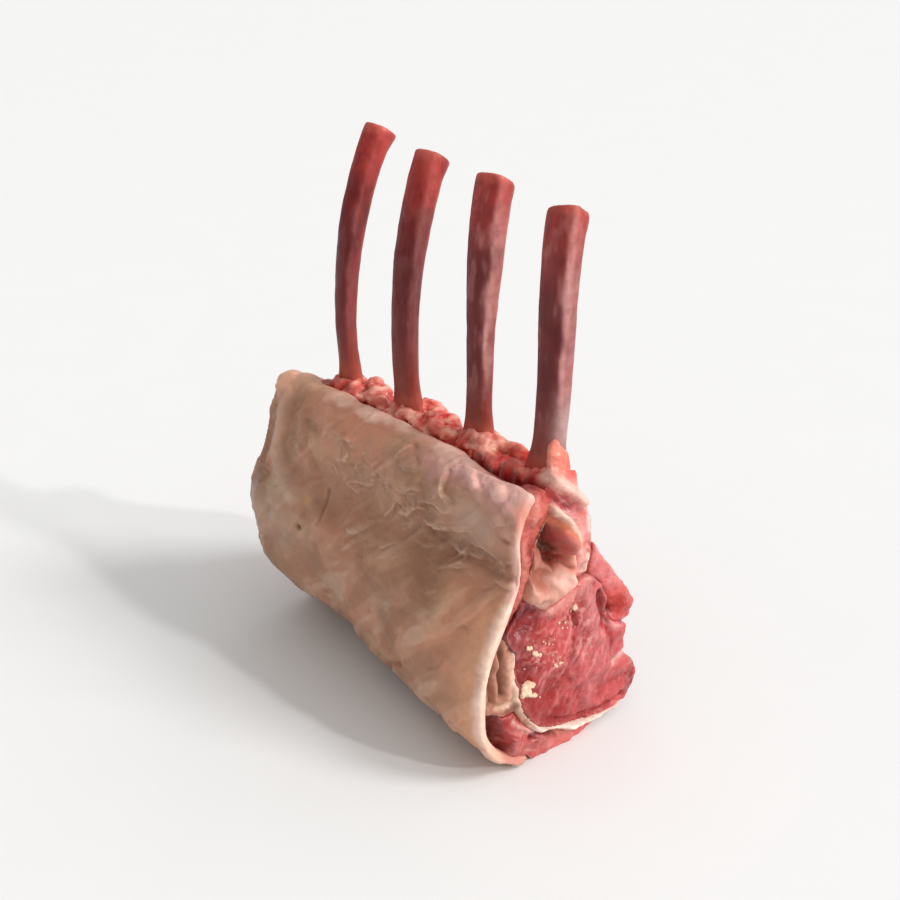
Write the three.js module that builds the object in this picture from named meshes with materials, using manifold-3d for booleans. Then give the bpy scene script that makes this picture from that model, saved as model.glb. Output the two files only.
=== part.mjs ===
// A frenched rack of lamb with four ribs, raw, standing on its thick side with the bare bones up.
// Millimetres, +Z up. +X runs along the rack towards the near cut end, -Y is the fat side and +Y the
// inner side that the ribs curve over. The origin is the middle of the base.
import * as THREE from "three";
import { mergeVertices } from "three/addons/utils/BufferGeometryUtils.js";
import Module from "manifold-3d";

const wasm = await Module();
wasm.setup();

// ---- driving dimensions ----
const rackLength = 116; // along X, cut end to cut end
const ribPitch = 28; // between neighbouring ribs
const lastRibInset = 8; // from the near cut end to the last rib's middle
const ribCount = 4;
const seamGap = 0.3; // between touching pieces of meat, fat and bone
const seamPoints = 2; // points on each stretch between two named points of a seam
const stations = 10; // steps along the rack
const outerReach = -33; // Y of the fat side where it bulges most
const innerReach = 30; // Y of the inner side where it bulges most
const rackTop = 87; // Z of the highest meat, between the ribs
const endRadius = 13; // the far end's fat side is rounded by this much
const farHeel = 5; // how far the far end's foot bulges on the fat side
const heelHeight = 23; // Z where it bulges most
const topSink = 0.3; // how much lower the rack's top few centimetres are away from the near cut end
const socketDepth = 8; // how far a rib's root stands in the meat

// ---- the cut section, as the seams where its muscles, fat and skin meet: [Y, Z] ----
const seams = {
  capOuter: [[-14.2, 86.6], [-17.4, 84.6], [-20.6, 78.5], [-21.2, 71.5], [-20, 64], [-21.2, 58.3], [-26.2, 50.3],
    [-31, 40], [-33, 29.5], [-32.4, 18.5], [-28, 10.3], [-21.5, 4.6], [-14.2, 1.1]],
  capTop: [[-12.4, 84.2], [-14.2, 86.6]],
  capFoot: [[-14.2, 1.1], [-13.4, 3]],
  capToLean: [[-12.4, 84.2], [-16.8, 79], [-18.2, 72], [-17, 64], [-18.3, 58.4], [-22, 51.2], [-24.6, 46.4]],
  capToFlank: [[-24.6, 46.4], [-28.1, 39.5], [-30.1, 31], [-30.2, 24.5]],
  capToUnder: [[-30.2, 24.5], [-29.6, 17.5], [-25, 10], [-19.5, 5.6], [-13.4, 3]],
  leanTop: [[-8.6, 84.4], [-12.4, 84.2]],
  leanToRibMeat: [[-8.6, 84.4], [-8.1, 81]],
  leanToSeamFat: [[-8.1, 81], [-7.6, 77.6], [-9.9, 73], [-12.5, 69.4], [-13.6, 64], [-15.3, 60], [-17.2, 55]],
  leanToEye: [[-17.2, 55], [-20.3, 50.2], [-24.6, 46.4]],
  seamFatToRibMeat: [[-8.1, 81], [-5.2, 78.4], [-1.2, 73.9], [1.8, 70], [2.5, 65], [2, 59.5], [2, 53]],
  seamFatToEye: [[-17.2, 55], [-13, 51.6], [-9.4, 48.8], [-4.5, 50.3], [2, 53]],
  ribMeatToEye: [[2, 53], [7.6, 53.4]],
  ribMeatToChine: [[7.6, 53.4], [8.8, 57.5], [9.2, 63.6]],
  chineToEye: [[7.6, 53.4], [12.6, 49], [14.4, 44], [14.8, 38.5], [18, 34.4], [24, 31.2]],
  flankToEye: [[-24.6, 46.4], [-22.4, 42.4], [-20.2, 37.6], [-20.4, 32.5], [-19.2, 27], [-16.8, 20], [-10.6, 11.8],
    [1.2, 7.6], [7.5, 5.8], [14.5, 4.5], [24.8, 4.6]],
  flankToUnder: [[-30.2, 24.5], [-27.2, 23], [-23.8, 20.8], [-19.9, 20.8], [-15.6, 14.2], [-10.8, 10.2],
    [0.8, 6.3], [7.4, 4.6], [14.5, 2.6]],
  ribMeatTop: [[-8.6, 84.4], [-6.4, 86.4], [-2.6, 87], [0.6, 85.6]],
  ribMeatInner: [[0.6, 85.6], [3, 81.8], [6.8, 75], [8.6, 68.6], [9.2, 63.6]],
  chineOuter: [[9.2, 63.6], [13.8, 56.4], [21.3, 47], [25.6, 41.2], [27.6, 37.4], [26.8, 33.6], [24, 31.2]],
  eyeOuter: [[24, 31.2], [23.6, 27], [23.7, 22.6], [25.6, 19.6], [29, 16.2], [30, 11], [28.2, 6.8], [24.8, 4.6]],
  flankOuter: [[24.8, 4.6], [20.5, 2.7], [14.5, 2.6]],
  underOuter: [[14.5, 2.6], [11.5, 0.9], [8.5, 0]],
  underBase: [[8.5, 0], [-9, 0]],
  underOuterFatSide: [[-9, 0], [-11.6, 0.6], [-13.4, 3]],
};

// Each piece is a list of seams that runs round it; a leading "-" takes the seam backwards. reach is how far
// its cut faces stand out of the rack's two ends.
const pieces = {
  fat_cap: {
    round: ["capOuter", "capFoot", "-capToUnder", "-capToFlank", "-capToLean", "capTop"],
    reach: 0,
    colour: 0xb99a86,
  },
  cap_lean: {
    round: ["capToLean", "-leanToEye", "-leanToSeamFat", "-leanToRibMeat", "leanTop"],
    reach: -0.8,
    colour: 0xc4655b,
  },
  seam_fat: {
    round: ["leanToSeamFat", "seamFatToEye", "-seamFatToRibMeat"],
    reach: 0.4,
    colour: 0xd9ab93,
  },
  rib_meat: {
    round: ["leanToRibMeat", "seamFatToRibMeat", "ribMeatToEye", "ribMeatToChine", "-ribMeatInner", "-ribMeatTop"],
    reach: -0.4,
    colour: 0xc9625c,
  },
  loin_eye: {
    round: ["leanToEye", "flankToEye", "-eyeOuter", "-chineToEye", "-ribMeatToEye", "-seamFatToEye"],
    reach: 1,
    colour: 0xb6423f,
  },
  chine_muscle: {
    round: ["ribMeatToChine", "chineOuter", "-chineToEye"],
    reach: 0.2,
    colour: 0xbf4a43,
  },
  flank_fat: {
    round: ["capToFlank", "flankToUnder", "-flankOuter", "-flankToEye"],
    reach: -0.3,
    colour: 0xc99c82,
  },
  under_muscle: {
    round: ["capToUnder", "-underOuterFatSide", "-underBase", "-underOuter", "-flankToUnder"],
    reach: 0,
    colour: 0xb84a48,
  },
};

// ---- the ribs, from the first, at the far end, to the last, by the near cut end ----
// width and depth are the shaft's size along X and across it, tip is the height of its sawn end, and bow and
// curl are how far it swings across by a third of the way up and in to the inner side at its tip. skew is the
// rise of its sawn end along X, and waist is the share of its size that is left where it is thinnest.
const ribs = [
  { width: 8.4, depth: 6.3, tip: 162.4, root: -0.8, bow: -1.8, curl: 13.6, skew: -0.02, waist: 0.72 },
  { width: 9.3, depth: 6.3, tip: 160.2, root: -1.6, bow: -1.6, curl: 9.9, skew: 0.08, waist: 0.84 },
  { width: 10.1, depth: 6.4, tip: 159.4, root: 0.1, bow: 0, curl: 5.4, skew: 0.12, waist: 0.72 },
  { width: 10.2, depth: 6.4, tip: 156.8, root: -1.6, bow: 1.8, curl: 5.2, skew: 0.28, waist: 0.86 },
];
const ribSides = 16;
const ribSteps = 12;
const ribSquareness = 3.4; // 2 would be an oval section, and more is flatter, with rounded corners
const sawTilt = Math.tan(THREE.MathUtils.degToRad(34)); // the sawn ends slope down to the inner side

const smooth = (t) => t * t * (3 - 2 * t);
const clamp01 = (t) => Math.min(1, Math.max(0, t));
const nearEnd = rackLength / 2;

// How far the fat side draws in towards the far end, at even steps of height from the foot to the top: much at
// the foot, and least above the middle.
const drawIn = [19, 17.6, 13.2, 6.4, -1.5, -2.2, 4.6, 5.4];
const drawInLine = new THREE.SplineCurve(drawIn.map((inwards, i) => new THREE.Vector2(i, inwards)));

function drawInAt(z) {
  return drawInLine.getPoint(clamp01(z / rackTop)).y;
}

// Carries a point of the near cut section to where it lies in the rack. The foot tucks in under the middle and
// has a rounded heel at the far end, the top sinks away from the near end, and the meat between the ribs falls
// away past the first rib.
function intoRack(x, y, z) {
  const belly = smooth(clamp01((nearEnd - 3 - x) / (0.85 * rackLength)));
  const towardsFat = clamp01((innerReach - y) / (innerReach - outerReach));
  const past = clamp01((endRadius - (x + nearEnd)) / endRadius); // into the rounded far end
  const rounding = endRadius * 0.45 * (1 - Math.sqrt(1 - past * past * 0.9));
  const heel = farHeel * smooth(clamp01((-8 - x) / 34)) * Math.exp(-(((z - heelHeight) / 11) ** 2));
  const sink = topSink * smooth(clamp01((nearEnd - x) / 26)) * Math.max(0, z - 76);
  const farSink = 5 * smooth(clamp01((-40 - x) / 14)) * clamp01((y + 9) / 3) * clamp01((z - 76) / 8);
  return [x, y + (drawInAt(z) * belly + rounding - heel) * towardsFat, z - sink - farSink];
}

// ---- outlines ----
function seamLine(name) {
  const backwards = name.startsWith("-");
  const points = seams[backwards ? name.slice(1) : name].map(([y, z]) => new THREE.Vector2(y, z));
  const line = new THREE.SplineCurve(points).getPoints((points.length - 1) * (points.length > 2 ? seamPoints : 1));
  return backwards ? line.reverse() : line;
}

// A closed outline moved inwards by half the seam gap, with its corners mitred.
function inset(outline, by) {
  return outline.map((point, i) => {
    const before = outline[(i + outline.length - 1) % outline.length];
    const after = outline[(i + 1) % outline.length];
    const edgeIn = point.clone().sub(before).normalize();
    const edgeOut = after.clone().sub(point).normalize();
    const normal = new THREE.Vector2(-(edgeIn.y + edgeOut.y), edgeIn.x + edgeOut.x).normalize();
    const slant = Math.max(0.14, -normal.x * edgeOut.y + normal.y * edgeOut.x);
    return point.clone().addScaledVector(normal, by / slant);
  });
}

function outlineOf(round) {
  const outline = round.flatMap((name) => seamLine(name).slice(0, -1));
  if (THREE.ShapeUtils.area(outline) < 0) outline.reverse();
  return inset(outline, seamGap / 2);
}

// ---- solids ----
function closed(geometry) {
  const plain = geometry.index ? geometry.toNonIndexed() : geometry;
  const skin = new THREE.BufferGeometry().setAttribute("position", plain.getAttribute("position"));
  return mergeVertices(skin, 1e-4);
}

function moveEachPoint(geometry, place) {
  const position = geometry.getAttribute("position");
  for (let i = 0; i < position.count; i += 1) {
    position.setXYZ(i, ...place(position.getX(i), position.getY(i), position.getZ(i)));
  }
  return closed(geometry);
}

// The stations lie closer together towards the two ends.
function stationX(i) {
  const share = i / stations;
  return nearEnd * (2 * (share - 0.06 * Math.sin(2 * Math.PI * share)) - 1);
}

// Where a point of the cut section lies at a station. The end stations stand out by reach, along the last stretch.
function atStation(i, y, z, reach) {
  const here = new THREE.Vector3(...intoRack(stationX(i), y, z));
  if (i > 0 && i < stations) return here;
  const next = i === 0 ? 1 : stations - 1;
  const inner = new THREE.Vector3(...intoRack(stationX(next), y, z));
  return here.lerp(inner, -reach / Math.abs(stationX(next) - stationX(i)));
}

// A layer of the rack: its outline in the cut section, drawn out from the far end to the near end.
function layer({ round, reach }) {
  const drawn = new THREE.ExtrudeGeometry(new THREE.Shape(outlineOf(round)), {
    depth: 1,
    steps: stations,
    bevelEnabled: false,
  });
  return moveEachPoint(drawn, (y, z, share) => atStation(Math.round(share * stations), y, z, reach));
}

const ribX = (i) => nearEnd - lastRibInset - (ribCount - 1 - i) * ribPitch;

// A rib's middle line: bowed over its lower half, then curled in.
function ribMiddle(rib, z) {
  const up = clamp01((z - rackTop) / (rib.tip - rackTop));
  const down = clamp01((rackTop - z) / 20);
  return rib.root + rib.bow * 6.75 * up * (1 - up) ** 2 + rib.curl * up ** 3 + 3 * down * down;
}

// A flattened shaft, waisted above the meat and flared to its sawn end. grow makes the socket that it stands in.
function ribShaft(rib, x, grow = 0) {
  const foot = rackTop - 4 - socketDepth - grow;
  const shaft = new THREE.CylinderGeometry(1, 1, 1, ribSides, ribSteps);
  return moveEachPoint(shaft, (across, height, deep) => {
    const up = height + 0.5;
    const z = foot + (rib.tip - foot) * up;
    const spread = (1.06 - rib.waist) * smooth(clamp01((up - 0.2) / 0.8));
    const flare = rib.waist + spread + 0.1 * smooth(clamp01(1 - up / 0.22));
    const round = Math.abs(across) ** ribSquareness + Math.abs(deep) ** ribSquareness;
    const square = round > 0 ? round ** (-1 / ribSquareness) : 0;
    const side = across * square * (rib.width / 2 * flare + grow);
    const y = ribMiddle(rib, z) - deep * square * (rib.depth / 2 * flare + grow);
    const saw = sawTilt * (ribMiddle(rib, z) - rib.depth / 2 - y) + rib.skew * side;
    return [x + side, y, z + Math.max(0, up - 0.9) * 10 * saw];
  });
}

function solidOf(geometry) {
  return new wasm.Manifold(
    new wasm.Mesh({
      numProp: 3,
      vertProperties: geometry.getAttribute("position").array,
      triVerts: new Uint32Array(geometry.index.array),
    }),
  );
}

function geometryOf(solid) {
  const { vertProperties, triVerts, numProp } = solid.getMesh();
  const points = new THREE.InterleavedBuffer(vertProperties, numProp);
  const geometry = new THREE.BufferGeometry();
  geometry.setAttribute("position", new THREE.InterleavedBufferAttribute(points, 3, 0));
  return geometry.setIndex(new THREE.BufferAttribute(triVerts, 1));
}

function raw(colour, roughness) {
  return new THREE.MeshStandardMaterial({ color: colour, roughness, metalness: 0 });
}

// ---- the rack ----
const rack = new THREE.Group();
const socketed = ["rib_meat", "seam_fat", "cap_lean"];

for (const [name, piece] of Object.entries(pieces)) {
  let geometry = layer(piece);
  if (socketed.includes(name)) {
    const sockets = ribs.map((rib, i) => solidOf(ribShaft(rib, ribX(i), seamGap)));
    geometry = geometryOf(sockets.reduce((left, socket) => left.subtract(socket), solidOf(geometry)));
  }
  const mesh = new THREE.Mesh(geometry, raw(piece.colour, 0.45));
  mesh.name = name;
  rack.add(mesh);
}

ribs.forEach((rib, i) => {
  const mesh = new THREE.Mesh(ribShaft(rib, ribX(i)), raw(0x8a4a45, 0.4));
  mesh.name = `rib_${i + 1}`;
  rack.add(mesh);
});

// The origin goes to the middle of the base.
const box = new THREE.Box3().setFromObject(rack);
const middle = box.getCenter(new THREE.Vector3());
rack.position.set(-middle.x, -middle.y, -box.min.z);

export default rack;
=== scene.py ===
import math
import random

import bpy
import numpy as np
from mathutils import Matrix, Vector, noise


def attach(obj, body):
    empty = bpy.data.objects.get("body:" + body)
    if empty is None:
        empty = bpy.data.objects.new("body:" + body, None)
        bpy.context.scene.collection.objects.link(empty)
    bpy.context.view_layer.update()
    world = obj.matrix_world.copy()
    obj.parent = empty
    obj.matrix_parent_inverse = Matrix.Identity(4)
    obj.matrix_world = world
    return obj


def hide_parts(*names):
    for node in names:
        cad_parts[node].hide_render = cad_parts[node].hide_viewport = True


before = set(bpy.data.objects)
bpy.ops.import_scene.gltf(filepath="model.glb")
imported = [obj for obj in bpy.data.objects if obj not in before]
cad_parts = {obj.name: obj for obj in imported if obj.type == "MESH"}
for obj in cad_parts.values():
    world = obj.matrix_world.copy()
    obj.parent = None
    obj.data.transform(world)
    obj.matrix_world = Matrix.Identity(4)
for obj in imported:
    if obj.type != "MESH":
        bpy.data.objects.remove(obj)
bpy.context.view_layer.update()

random.seed(7)
between = random.uniform
mm = 0.001  # shapes below are worked out in millimetres

# The camera stands at the near cut end, on the fat side, a little above.
cameraSettings = {
    "azimuth": 48,
    "elevation": 25,
    "distance": 0.418,
    "aim": (0.0, 0.0106, 0.0705),
    "lens": 56,
    "nearest": 0.01,
}


def addCamera():
    turn, rise = math.radians(cameraSettings["azimuth"]), math.radians(cameraSettings["elevation"])
    back = Vector((math.sin(turn) * math.cos(rise), -math.cos(turn) * math.cos(rise), math.sin(rise)))
    bpy.ops.object.camera_add(location=Vector(cameraSettings["aim"]) + back * cameraSettings["distance"])
    camera = bpy.context.object
    camera.name = "camera"
    camera.rotation_euler = (-back).to_track_quat("-Z", "Y").to_euler()
    camera.data.lens = cameraSettings["lens"]
    camera.data.clip_start = cameraSettings["nearest"]
    bpy.context.scene.camera = camera


# A pale surround, brighter to the right and behind, a broad key from there, and a small lamp for glints.
lightSettings = {
    "surround": (1.0, 0.995, 0.985, 1),
    "dim": 0.40,
    "bright": 1.0,
    "dimmest": -0.6,  # how far round, from the bright side, the surround has fallen to its dim strength
    "towards": (0.75, 0.45, 0.50),
    "key": {"from": (0.74, 0.42, 0.78), "strength": 1.65, "angle": 18},
    "glint": {"from": (0.84, 0.20, 0.50), "strength": 0.9, "angle": 3},
}


def addSun(name):
    lamp = lightSettings[name]
    place = Vector(lamp["from"])
    bpy.ops.object.light_add(type="SUN", location=place)
    sun = bpy.context.object
    sun.name = name
    sun.rotation_euler = place.to_track_quat("Z", "Y").to_euler()
    sun.data.energy = lamp["strength"]
    sun.data.angle = math.radians(lamp["angle"])


def addLights():
    scene = bpy.context.scene
    scene.view_settings.view_transform = "Standard"
    scene.world = bpy.data.worlds.new("paleSurround")
    scene.world.use_nodes = True
    tree = scene.world.node_tree
    facing = addNode(tree, "TexCoord").outputs["Generated"]
    towards = Vector(lightSettings["towards"]).normalized()
    turned = addNode(tree, "VectorMath", {0: facing, 1: towards}, operation="DOT_PRODUCT").outputs["Value"]
    dim, bright = lightSettings["dim"], lightSettings["bright"]
    strength = rescale(tree, turned, lightSettings["dimmest"], 1.0, dim, bright)
    fillSockets(tree, tree.nodes["Background"], {"Color": lightSettings["surround"], "Strength": strength})
    addSun("key")
    addSun("glint")


# Small tools for whole objects.
def selectOnly(piece):
    bpy.ops.object.select_all(action="DESELECT")
    piece.select_set(True)
    bpy.context.view_layer.objects.active = piece


def useModifier(piece, kind, **settings):
    selectOnly(piece)
    bpy.ops.object.modifier_add(type=kind)
    modifier = piece.modifiers[-1]
    for key, value in settings.items():
        setattr(modifier, key, value)
    bpy.ops.object.modifier_apply(modifier=modifier.name)


def copyOfNode(name, node):
    piece = bpy.data.objects.new(name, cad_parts[node].data.copy())
    bpy.context.scene.collection.objects.link(piece)
    piece.data.materials.clear()
    editFaces(piece, lambda middle, normal: True, bpy.ops.mesh.remove_doubles, threshold=0.01 * mm)
    return piece


def addClay(piece, blobs):  # lumps, each (place, radii, turn), pressed onto a piece before it is remeshed
    lumps = []
    for place, radii, turn in blobs:
        bpy.ops.object.select_all(action="DESELECT")
        bpy.ops.mesh.primitive_ico_sphere_add(
            subdivisions=3,
            radius=1,
            location=Vector(place) * mm,
            rotation=[math.radians(a) for a in turn],
            scale=Vector(radii) * mm,
        )
        lumps.append(bpy.context.object)
    selectOnly(piece)
    for lump in lumps:
        lump.select_set(True)
    bpy.ops.object.join()


def remesh(piece, settings):
    useModifier(piece, "REMESH", mode="VOXEL", voxel_size=settings["voxel"] * mm)
    useModifier(piece, "SMOOTH", factor=0.5, iterations=settings["rounding"])


def editFaces(piece, chosen, operator, **settings):  # one edit on the faces chosen by their middle and normal
    selectOnly(piece)
    for face in piece.data.polygons:
        face.select = chosen(face.center / mm, face.normal)
    bpy.ops.object.mode_set(mode="EDIT")
    bpy.ops.mesh.select_mode(type="FACE")
    operator(**settings)
    bpy.ops.object.mode_set(mode="OBJECT")


# Small tools for a piece's points, in millimetres.
def rowsOf(source, field):
    flat = np.empty(len(source) * 3)
    source.foreach_get(field, flat)
    return flat.reshape(-1, 3)


def pointsOf(piece):
    return rowsOf(piece.data.vertices, "co") / mm


def normalsOf(piece):
    return rowsOf(piece.data.vertex_normals, "vector")


def movePoints(piece, points):
    points[:, 2] = np.maximum(points[:, 2], 0)  # nothing reaches below the board
    piece.data.vertices.foreach_set("co", (points * mm).ravel())
    piece.data.update()


def ramp(values, low, high):
    share = np.clip((values - low) / (high - low), 0, 1)
    return share * share * (3 - 2 * share)


def grain(points, size, seed=0.0, octaves=3, stretch=(1, 1, 1)):
    scaled = points / (size * np.array(stretch)) + seed
    return np.array([noise.fractal(p, 1.0, 2.0, octaves) for p in scaled.tolist()])


def wandering(points, size, seeds, octaves, reach):  # two columns of grain, which bend a flat pattern
    return np.stack([grain(points, size, seed, octaves) for seed in seeds], 1) * reach


def spot(points, place, radii):
    away = (points - np.array(place)) / np.array(radii)
    return np.exp(-(away**2).sum(1))


def nearPath(points, path):  # distance to a path of straight stretches, how far to its right, and how far on
    nearest = np.full(len(points), 1e9)
    right, onward = np.zeros(len(points)), np.zeros(len(points))
    for step, (start, end) in enumerate(zip(path, path[1:])):
        start, end = np.array(start, float), np.array(end, float)
        run = end - start
        share = np.clip(((points - start) @ run) / (run @ run + 1e-9), 0, 1)
        away = points - start - share[:, None] * run
        distance = np.linalg.norm(away, axis=1)
        closer = distance < nearest
        nearest = np.where(closer, distance, nearest)
        aside = (away @ np.array((run[1], -run[0]))) / (np.linalg.norm(run) + 1e-9)
        right = np.where(closer, aside, right)
        onward = np.where(closer, (step + share) / (len(path) - 1), onward)
    return nearest, right, onward


def along(points, path, width):  # 1 on a path, fading over width
    return np.exp(-((nearPath(points, path)[0] / width) ** 2))


def endsFade(onward):  # 0 at both ends of a path, 1 halfway along
    return np.sqrt(np.clip(np.sin(np.pi * onward), 0, 1))


def lifted(points, path, reach):  # a lifted edge: steep on the path, then falling away to its right
    distance, right, onward = nearPath(points, path)
    return ramp(right, -0.3, 0.3) * np.exp(-distance / reach) * endsFade(onward)


def torn(points, path):  # the thin pale lip of a lifted edge, partly a painted highlight, and the painted shadow below it
    distance, right, onward = nearPath(points, path)
    near = np.exp(-((distance / 0.7) ** 2)) * endsFade(onward)
    return near * (right > 0.1), near * (right < 0.1)


def streaked(points, angle, size, seed):  # grain drawn out along a direction on the cut face
    turn = math.radians(angle)
    onward = points[:, 1] * math.cos(turn) + points[:, 2] * math.sin(turn)
    across = points[:, 2] * math.cos(turn) - points[:, 1] * math.sin(turn)
    return grain(np.stack([points[:, 0] * 0.3, across, onward / 6.0], 1), size, seed, 3)


def neighbourMean(piece, values, rounds):
    ends = np.empty(len(piece.data.edges) * 2, np.int32)
    piece.data.edges.foreach_get("vertices", ends)
    first, second = ends[0::2], ends[1::2]
    total = len(piece.data.vertices)
    count = np.maximum(np.bincount(first, minlength=total) + np.bincount(second, minlength=total), 1)
    for _ in range(rounds):
        columns = []
        for column in values.T:
            summed = np.bincount(first, column[second], total) + np.bincount(second, column[first], total)
            columns.append(summed / count)
        values = np.array(columns).T
    return values


def hollowOf(piece, rounds=14):  # how far each point lies below its surroundings, in millimetres
    points = pointsOf(piece)
    return ((neighbourMean(piece, points, rounds) - points) * normalsOf(piece)).sum(1)


# Paint is kept on a piece's points: a colour, and how much of it covers the material below.
def tone(red, green, blue):
    def linear(value):
        share = value / 255
        return share / 12.92 if share <= 0.04045 else ((share + 0.055) / 1.055) ** 2.4

    return (linear(red), linear(green), linear(blue), 1)


def painted(points, coats):  # coats in the order they are laid, each (cover, colour)
    canvas = np.zeros((len(points), 4))
    for cover, colour in coats:
        cover = np.clip(cover, 0, 1)[:, None]
        kept = canvas[:, 3:] * (1 - cover)
        total = kept + cover
        mixed = canvas[:, :3] * kept + np.array(tone(*colour)[:3]) * cover
        canvas[:, :3] = np.where(total > 1e-6, mixed / np.maximum(total, 1e-6), 0)
        canvas[:, 3:] = total
    return canvas


def storeOnPoints(layers, name, kind, field, values):
    layers.new(name, kind, "POINT").data.foreach_set(field, values.astype(np.float32).ravel())


def finishPiece(piece, node, slot, material, canvas):
    storeOnPoints(piece.data.attributes, "hollow", "FLOAT", "value", hollowOf(piece))
    storeOnPoints(piece.data.color_attributes, "paint", "FLOAT_COLOR", "color", canvas)
    piece.data.materials.clear()
    piece.data.materials.append(material)
    selectOnly(piece)
    bpy.ops.object.shade_smooth()
    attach(piece, "root")
    if node:
        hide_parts(node)
    print(piece.name, len(piece.data.polygons), "faces")


# Nodes, for the surround and the materials.
def fillSockets(tree, node, values):
    for socket, value in values.items():
        if isinstance(value, bpy.types.NodeSocket):
            tree.links.new(value, node.inputs[socket])
        else:
            node.inputs[socket].default_value = value
    return node


def addNode(tree, kind, values=None, **settings):
    node = tree.nodes.new("ShaderNode" + kind)
    for key, value in settings.items():
        setattr(node, key, value)
    return fillSockets(tree, node, values or {})


def mixColours(tree, share, first, second):
    return addNode(tree, "Mix", {0: share, 6: first, 7: second}, data_type="RGBA").outputs[2]


def calculate(tree, how, first, second=0.0, clamp=False):
    return addNode(tree, "Math", {0: first, 1: second}, operation=how, use_clamp=clamp).outputs[0]


def addShare(tree, first, second, share):  # first, and a share of second
    return calculate(tree, "ADD", first, calculate(tree, "MULTIPLY", second, share))


def rescale(tree, value, low, high, newLow=0.0, newHigh=1.0):
    values = {"Value": value, "From Min": low, "From Max": high, "To Min": newLow, "To Max": newHigh}
    return addNode(tree, "MapRange", values).outputs["Result"]


def tint(tree, colour, other, value, low, high, share=1.0):  # turns to other as value goes low to high
    return mixColours(tree, rescale(tree, value, low, high, 0.0, share), colour, other)


def noiseOn(tree, vector, scale, detail=3.0, distortion=0.0):
    values = {"Vector": vector, "Scale": scale, "Detail": detail, "Distortion": distortion}
    return addNode(tree, "TexNoise", values).outputs["Fac"]


def stretched(tree, vector, scale, turn=(0, 0, 0)):
    values = {"Vector": vector, "Scale": scale, "Rotation": turn}
    return addNode(tree, "Mapping", values).outputs["Vector"]


def newGroup(name, inputs, outputs):  # each socket's name and kind
    group = bpy.data.node_groups.new(name, "ShaderNodeTree")
    for way, sockets in (("INPUT", inputs), ("OUTPUT", outputs)):
        for socket, kind in sockets.items():
            group.interface.new_socket(name=socket, in_out=way, socket_type="NodeSocket" + kind)
    return group, group.nodes.new("NodeGroupInput").outputs, group.nodes.new("NodeGroupOutput")


def placeGroup(tree, group, values):
    return addNode(tree, "Group", values, node_tree=group).outputs


def buildLeanGroup():  # raw muscle: mottled, with fibre and thin pale marbling
    inputs = {"Vector": "Vector", "Lean": "Color", "Deep": "Color", "Pale": "Color"}
    inputs.update({"Fibre Size": "Float", "Marbling": "Float"})
    tree, given, out = newGroup("leanMeat", inputs, {"Color": "Color", "Height": "Float"})
    vector, deep, pale = given["Vector"], given["Deep"], given["Pale"]
    colour = tint(tree, deep, given["Lean"], noiseOn(tree, vector, 95.0, 4.0, 0.6), 0.4, 0.56)
    mottle = noiseOn(tree, vector, 330.0, 3.0, 1.2)
    colour = tint(tree, colour, pale, mottle, 0.5, 0.8, 0.5)
    across = stretched(tree, vector, (1.0, 0.45, 2.2), (0.9, 0.0, 0.0))
    fibre = noiseOn(tree, across, given["Fibre Size"], 3.0, 0.8)
    colour = tint(tree, colour, deep, fibre, 0.45, 0.25, 0.55)
    wander = noiseOn(tree, across, 140.0, 5.0, 2.4)
    line = calculate(tree, "ABSOLUTE", calculate(tree, "SUBTRACT", wander, 0.5))
    patch = rescale(tree, noiseOn(tree, vector, 60.0, 2.0), 0.5, 0.62)
    streak = calculate(tree, "MULTIPLY", rescale(tree, line, 0.022, 0.004), patch)
    streak = calculate(tree, "MULTIPLY", streak, given["Marbling"], True)
    height = addShare(tree, calculate(tree, "MULTIPLY", fibre, 0.6), mottle, 0.8)
    height = addShare(tree, height, streak, 0.25)
    fillSockets(tree, out, {"Color": mixColours(tree, streak, colour, pale), "Height": height})
    return tree


def buildFatGroup():  # soft fat: creamy, with darker and pinker patches and a fine pebbled skin
    inputs = {"Vector": "Vector", "Fat": "Color", "Shade": "Color", "Blush": "Color", "Patch Size": "Float"}
    tree, given, out = newGroup("softFat", inputs, {"Color": "Color", "Height": "Float"})
    vector, fat, shade = given["Vector"], given["Fat"], given["Shade"]
    broad = noiseOn(tree, vector, given["Patch Size"], 5.0, 0.8)
    colour = tint(tree, shade, fat, broad, 0.36, 0.64)
    drift = stretched(tree, vector, (1.0, 1.0, 1.0), (0.5, 0.3, 0.8))
    colour = tint(tree, colour, given["Blush"], noiseOn(tree, drift, 48.0, 4.0, 1.0), 0.48, 0.72, 0.8)
    fine = noiseOn(tree, vector, 420.0, 4.0, 0.8)
    colour = tint(tree, colour, shade, fine, 0.42, 0.2, 0.45)
    colour = tint(tree, colour, fat, fine, 0.56, 0.8, 0.4)
    fillSockets(tree, out, {"Color": colour, "Height": addShare(tree, fine, broad, 0.7)})
    return tree


def buildFilmGroup():  # a wet film: smooth pools and drier places
    inputs = {"Vector": "Vector", "Wet": "Float", "Dry": "Float", "Size": "Float"}
    tree, given, out = newGroup("wetFilm", inputs, {"Roughness": "Float", "Height": "Float"})
    pools = rescale(tree, noiseOn(tree, given["Vector"], given["Size"], 4.0, 0.5), 0.35, 0.65)
    spread = calculate(tree, "SUBTRACT", given["Dry"], given["Wet"])
    height = noiseOn(tree, given["Vector"], 900.0, 2.0)
    fillSockets(tree, out, {"Roughness": addShare(tree, given["Wet"], pools, spread), "Height": height})
    return tree


def startMaterial(name):
    material = bpy.data.materials.new(name)
    material.use_nodes = True
    tree = material.node_tree
    tree.nodes.clear()
    return material, tree, addNode(tree, "TexCoord").outputs["Object"]


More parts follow.
